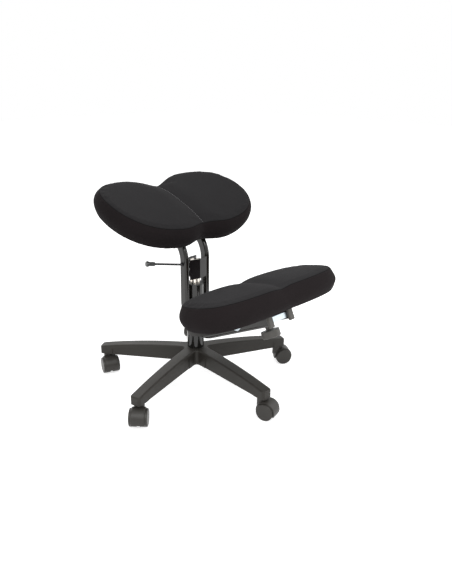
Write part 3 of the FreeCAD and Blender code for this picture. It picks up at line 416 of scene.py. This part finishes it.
def padStart(pad):
    # rings from the top's middle out over the rounded edge, down the side and in under the pad
    curve, outward = padOutline(pad, 260)
    r, small = pad["edge"], pad["shrink"]
    rings = []
    inner = curve - outward * (r + small)
    for k in np.linspace(0.04, 1.0, 24):
        p = inner * k
        rings.append(np.column_stack([p, padTop(pad, p[:, 0]) - small + pad["crown"] * (1 - k ** 2)]))
    for a in np.radians([20, 40, 60, 80]):
        p = curve - outward * (r * (1 - math.sin(a)) + small)
        rings.append(np.column_stack([p, padTop(pad, p[:, 0]) - small - r * (1 - math.cos(a))]))
    for u in np.linspace(0.02, 1.0, 12):
        offset = pad["bulge"] * math.sin(math.pi * u) - pad["inset"] * u ** 1.6 - small
        p = curve + outward * offset
        high = padTop(pad, p[:, 0]) - small - r
        low = padRise(pad, p[:, 0]) + 2 - pad["lip"]
        rings.append(np.column_stack([p, high + (low - high) * u]))
    under = curve - outward * (pad["inset"] + small + 3)
    for k in np.linspace(1.0, 0.05, 16):
        p = under * k
        rings.append(np.column_stack([p, padRise(pad, p[:, 0]) - pad["lip"] * max(0.0, 1 - (1 - k) / 0.1)]))
    count = len(curve)
    points = np.vstack(rings + [[[0, 0, padTop(pad, np.zeros(1))[0] - small + pad["crown"]]], [[0, 0, 0]]])
    faces = gridFaces(len(rings), count, True)[:, ::-1].tolist()
    c = np.arange(count)
    n = (c + 1) % count
    last = (len(rings) - 1) * count
    faces += np.stack([np.full(count, len(points) - 2), c, n], axis=-1).tolist()
    faces += np.stack([np.full(count, len(points) - 1), last + n, last + c], axis=-1).tolist()
    return outOf(pad, points), faces


def coordinates(mesh):
    flat = np.zeros(len(mesh.vertices) * 3)
    mesh.vertices.foreach_get("co", flat)
    return flat.reshape(-1, 3) / mm


def setCoordinates(mesh, points):
    mesh.vertices.foreach_set("co", (np.asarray(points) * mm).ravel())
    mesh.update()


def settle(obj):
    # the object's modifiers are applied to its mesh
    graph = bpy.context.evaluated_depsgraph_get()
    graph.update()
    mesh = bpy.data.meshes.new_from_object(obj.evaluated_get(graph), depsgraph=graph)
    obj.modifiers.clear()
    obj.data = mesh


swelling = {"pressure": 2.5, "stiffness": 40.0, "bending": 4.0, "quality": 4, "frames": 20, "heldHeight": 3.5}


def inflate(obj, pad):
    # cloth under pressure, held where the pad is stapled to its board, and kept within a small reach
    before = coordinates(obj.data)
    local = into(pad, before)
    held = obj.vertex_groups.new(name="held")
    low = np.nonzero(local[:, 2] - padRise(pad, local[:, 0]) < swelling["heldHeight"])[0]
    held.add(low.tolist(), 1.0, "REPLACE")
    cloth = obj.modifiers.new("swell", "CLOTH")
    cloth.settings.quality = swelling["quality"]
    cloth.settings.use_pressure = True
    cloth.settings.uniform_pressure_force = swelling["pressure"]
    cloth.settings.effector_weights.gravity = 0.0
    cloth.settings.vertex_group_mass = "held"
    cloth.settings.tension_stiffness = swelling["stiffness"]
    cloth.settings.compression_stiffness = swelling["stiffness"]
    cloth.settings.bending_stiffness = swelling["bending"]
    cloth.collision_settings.use_collision = False
    cloth.point_cache.frame_start = 1
    cloth.point_cache.frame_end = swelling["frames"]
    for step in range(1, swelling["frames"] + 1):
        bpy.context.scene.frame_set(step)
    settle(obj)
    move = coordinates(obj.data) - before
    length = np.linalg.norm(move, axis=1)
    share = np.minimum(1.0, pad["reach"] / np.maximum(length, 1e-6))
    setCoordinates(obj.data, before + move * share[:, None])
    print(pad["name"], "swelled by %.1f mm at most" % (length * share).max())


def seamSide(pad, points):
    # signed distance over the rounded edge: under 0 on the top panel, over 0 on the side band
    local = into(pad, points)
    curve, outward = padOutline(pad, 900)
    tree = KDTree(len(curve))
    for i, (x, s) in enumerate(curve):
        tree.insert((x, s, 0.0), i)
    tree.balance()
    near = np.array([tree.find((x, s, 0.0))[1] for x, s in local[:, :2]])
    inside = -np.sum((local[:, :2] - curve[near]) * outward[near], axis=1)
    below = padTop(pad, local[:, 0]) - local[:, 2]
    return (below - inside) * 0.7, local


def surfaceNormals(mesh):
    flat = np.zeros(len(mesh.vertices) * 3)
    mesh.vertices.foreach_get("normal", flat)
    return flat.reshape(-1, 3)


sewing = {"seamSink": 1.3, "seamReach": 2.2, "wrinkleDepth": 0.5, "wrinkleStart": 0.72, "wrinkleFade": 30.0,
          "wrinklePitch": (0.05, 0.21)}


def sewn(obj, pad):
    # after the swelling: the seam sinks a little all round, and the crease runs over the middle of the top
    points = coordinates(obj.data)
    side, local = seamSide(pad, points)
    upper = local[:, 2] > padRise(pad, local[:, 0]) + 0.45 * pad["height"]
    sink = sewing["seamSink"] * np.exp(-(side / sewing["seamReach"]) ** 2) * upper
    top = np.clip(-side / 6.0, 0.0, 1.0) * upper
    depth, width = pad["crease"]
    sink += depth * np.exp(-np.abs(local[:, 0]) / width) * (0.35 + 0.65 * top) * upper
    end = np.clip((local[:, 0] - sewing["wrinkleStart"] * pad["halfWidth"]) / sewing["wrinkleFade"], 0.0, 1.0)
    along, high = sewing["wrinklePitch"]
    pull = np.sin(local[:, 2] * high + local[:, 1] * along) * np.clip(side / 10.0, 0.0, 1.0)
    sink += sewing["wrinkleDepth"] * end * pull * (local[:, 2] > 12.0)
    setCoordinates(obj.data, points - surfaceNormals(obj.data) * sink[:, None])
    side, local = seamSide(pad, coordinates(obj.data))
    side = np.where(upper, side, 8.0)
    attribute = obj.data.attributes.new("seamSide", "FLOAT", "POINT")
    attribute.data.foreach_set("value", side.astype(np.float32))


def padPiece(pad):
    points, faces = padStart(pad)
    cloth = upholstery(pad["name"] + "Cloth", pad)
    obj = meshObject(pad["name"], points, faces, cloth)
    even = obj.modifiers.new("even", "REMESH")
    even.mode = "VOXEL"
    even.voxel_size = pad["voxel"] * mm
    settle(obj)
    inflate(obj, pad)
    fine = obj.modifiers.new("fine", "SUBSURF")
    fine.levels = fine.render_levels = 1
    settle(obj)
    sewn(obj, pad)
    obj.data.polygons.foreach_set("use_smooth", [True] * len(obj.data.polygons))
    obj.data.materials.clear()
    obj.data.materials.append(cloth)
    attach(obj, pad["body"])
    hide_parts(pad["node"])
    print(pad["name"], "done:", len(obj.data.polygons), "faces")
    return obj


seat = padPiece(seatPad)
padPiece(kneePad)


def onPad(obj, starts, direction):
    # where straight lines from the start points meet the pad
    tree = BVHTree.FromPolygons([v.co for v in obj.data.vertices], [p.vertices for p in obj.data.polygons])
    hits = [tree.ray_cast(Vector(p * mm), Vector(direction)) for p in starts]
    return np.array([np.array(h[0]) / mm if h[0] is not None else p for h, p in zip(hits, starts)]), \
        np.array([np.array(h[1]) if h[1] is not None else (0, 0, 1) for h in hits])


threads = {"length": 4.2, "gap": 6.6, "radius": 0.55, "color": (0.16, 0.16, 0.165)}


def stitchRow(obj, pad):
    # short rounded stitches along the crease, each a capsule: radius * sin over its length
    first, last = pad["stitches"]
    places = np.arange(first, last, threads["gap"])
    _, axes = slopeFrame(pad)
    starts = outOf(pad, np.column_stack([np.zeros_like(places), places, np.full_like(places, 200.0)]))
    ends = starts + axes[1] * threads["length"]
    a, _ = onPad(obj, starts, -axes[2])
    b, _ = onPad(obj, ends, -axes[2])
    u = np.linspace(0, 1, 7)
    ring = np.arange(6) * math.pi / 3
    swell = threads["radius"] * np.sqrt(np.clip(1 - (2 * u - 1) ** 4, 0.02, 1))
    along = a[:, None] + (b - a)[:, None] * u[None, :, None] + axes[2] * 0.3
    body = along[:, :, None] + swell[None, :, None, None] * (
        np.cos(ring)[None, None, :, None] * axes[0] + np.sin(ring)[None, None, :, None] * axes[2])
    one = np.array(gridFaces(7, 6, True))
    faces = (one[None] + (np.arange(len(places)) * 42)[:, None, None]).reshape(-1, 4).tolist()
    for k in range(len(places)):
        faces += [list(range(k * 42 + 5, k * 42 - 1, -1)), list(range(k * 42 + 36, k * 42 + 42))]
    cloth = surface("stitchThread", grainGroup, {"Grain": 900.0}, threads["color"], 0.7, 0.0001)
    row = meshObject(pad["name"] + "Stitches", body.reshape(-1, 3), faces, cloth)
    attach(row, pad["body"])
    print("stitches:", len(places))


stitchRow(seat, seatPad)


# Welds

weldLook = {"radius": 1.7, "ripple": 0.28, "pitch": 2.4}


def weldBead(name, start, end, upward, body="frame"):
    # a bead whose radius swells and shrinks along its run: radius + ripple * |sin|
    start, end = np.array(start, float), np.array(end, float)
    steps = max(8, int(np.linalg.norm(end - start) / 0.6))
    u = np.linspace(0, 1, steps)
    path = start + (end - start) * u[:, None]
    swell = weldLook["radius"] + weldLook["ripple"] * np.abs(np.sin(u * steps * 0.6 * math.pi / weldLook["pitch"]))
    swell *= np.clip(np.minimum(u, 1 - u) * 14, 0.25, 1)
    points, faces = tubeAlong(path, np.array(upward, float), swell, 8)
    bead = meshObject(name, points, faces, finishes["glossBlack"])
    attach(bead, body)
    return bead


armsPlace = {"origin": (2.8355, -69.0778, 200.5904), "tilt": 26.0}
innerX, seatTubeX, tubeHalf = 32.0, 39.5, 5.2
bridgeRun, seatRun = (122, 228), (-68, 10)
for hand, label in ((1, "left"), (-1, "right")):
    a, b = outOf(armsPlace, [[hand * innerX, s, -6.0] for s in bridgeRun])
    weldBead(label + "BridgeWeld", a, b, (0, 0, 1))
    a, b = outOf(armsPlace, [[hand * innerX, s, -9.0] for s in bridgeRun])
    weldBead(label + "BridgeUnderWeld", a, b, (0, 0, 1))
    for step, edge in enumerate((-tubeHalf, tubeHalf)):
        a, b = outOf(seatPad, [[hand * seatTubeX + edge, s, -4.0] for s in seatRun])
        weldBead("%sSeatWeld%d" % (label, step), a, b, (0, 0, 1))
print("welds done")


# Camera at the photograph's viewpoint

view = {"place": (-1.09876, -1.1909, 0.9062), "target": (0.06694, -0.0253, 0.2866), "roll": 0.62, "lens": 36.83}
camera = bpy.data.objects.new("camera", bpy.data.cameras.new("camera"))
bpy.context.scene.collection.objects.link(camera)
camera.data.sensor_width = 36.0
camera.data.lens = view["lens"]
forward = (Vector(view["target"]) - Vector(view["place"])).normalized()
level = forward.cross(Vector((0, 0, 1))).normalized()
upright = level.cross(forward)
roll = math.radians(view["roll"])
across = level * math.cos(roll) + upright * math.sin(roll)
upward = upright * math.cos(roll) - level * math.sin(roll)
camera.matrix_world = Matrix.Translation(view["place"]) @ Matrix((across, upward, -forward)).transposed().to_4x4()
bpy.context.scene.camera = camera


# Floor, lamps and world

studio = {"world": 0.55, "floorGlow": 0.62, "lamps": [
    ("keyLamp", (-1.6, -1.6, 2.4), 2.2, 62.0), ("fillLamp", (2.0, -1.4, 1.6), 2.4, 26.0),
    ("backLamp", (0.6, 2.2, 2.2), 2.0, 26.0)]}


def whiteToCamera(tree, seen, lit, strength):
    # the camera and mirror-like rays see plain white, and everything else is lit at a plain level
    path = tree.nodes.new("ShaderNodeLightPath")
    either = mathNode(tree, "MAXIMUM", mathNode(tree, "MAXIMUM", path.outputs["Is Camera Ray"],
                                                path.outputs["Is Glossy Ray"]), path.outputs["Is Transmission Ray"])
    return mathNode(tree, "MULTIPLY_ADD", either, seen - lit, lit)


floorMaterial, floorTree, floorShader = newMaterial("studioFloor", {"Base Color": (0.86, 0.86, 0.86, 1.0),
                                                                    "Roughness": 0.9, "Specular IOR Level": 0.0,
                                                                    "Emission Color": (1, 1, 1, 1)})
floorTree.links.new(whiteToCamera(floorTree, studio["floorGlow"], 0.0, 1.0), floorShader.inputs["Emission Strength"])
floor = meshObject("floor", [[-9000, -9000, 0], [9000, -9000, 0], [9000, 9000, 0], [-9000, 9000, 0]], [[0, 1, 2, 3]],
                   floorMaterial, False)

world = bpy.data.worlds.new("studioWorld")
bpy.context.scene.world = world
world.use_nodes = True
world.node_tree.links.new(whiteToCamera(world.node_tree, 1.0, studio["world"], 1.0),
                          world.node_tree.nodes["Background"].inputs["Strength"])
world.node_tree.nodes["Background"].inputs["Color"].default_value = (1, 1, 1, 1)
for name, place, size, power in studio["lamps"]:
    lamp = bpy.data.objects.new(name, bpy.data.lights.new(name, "AREA"))
    lamp.data.shape = "SQUARE"
    lamp.data.size = size
    lamp.data.energy = power
    lamp.location = place
    lamp.rotation_mode = "QUATERNION"
    lamp.rotation_quaternion = (Vector(place) - Vector((0, 0, 0.3))).to_track_quat("Z", "Y")
    bpy.context.scene.collection.objects.link(lamp)
bpy.context.scene.view_settings.view_transform = "Standard"
print("studio done")
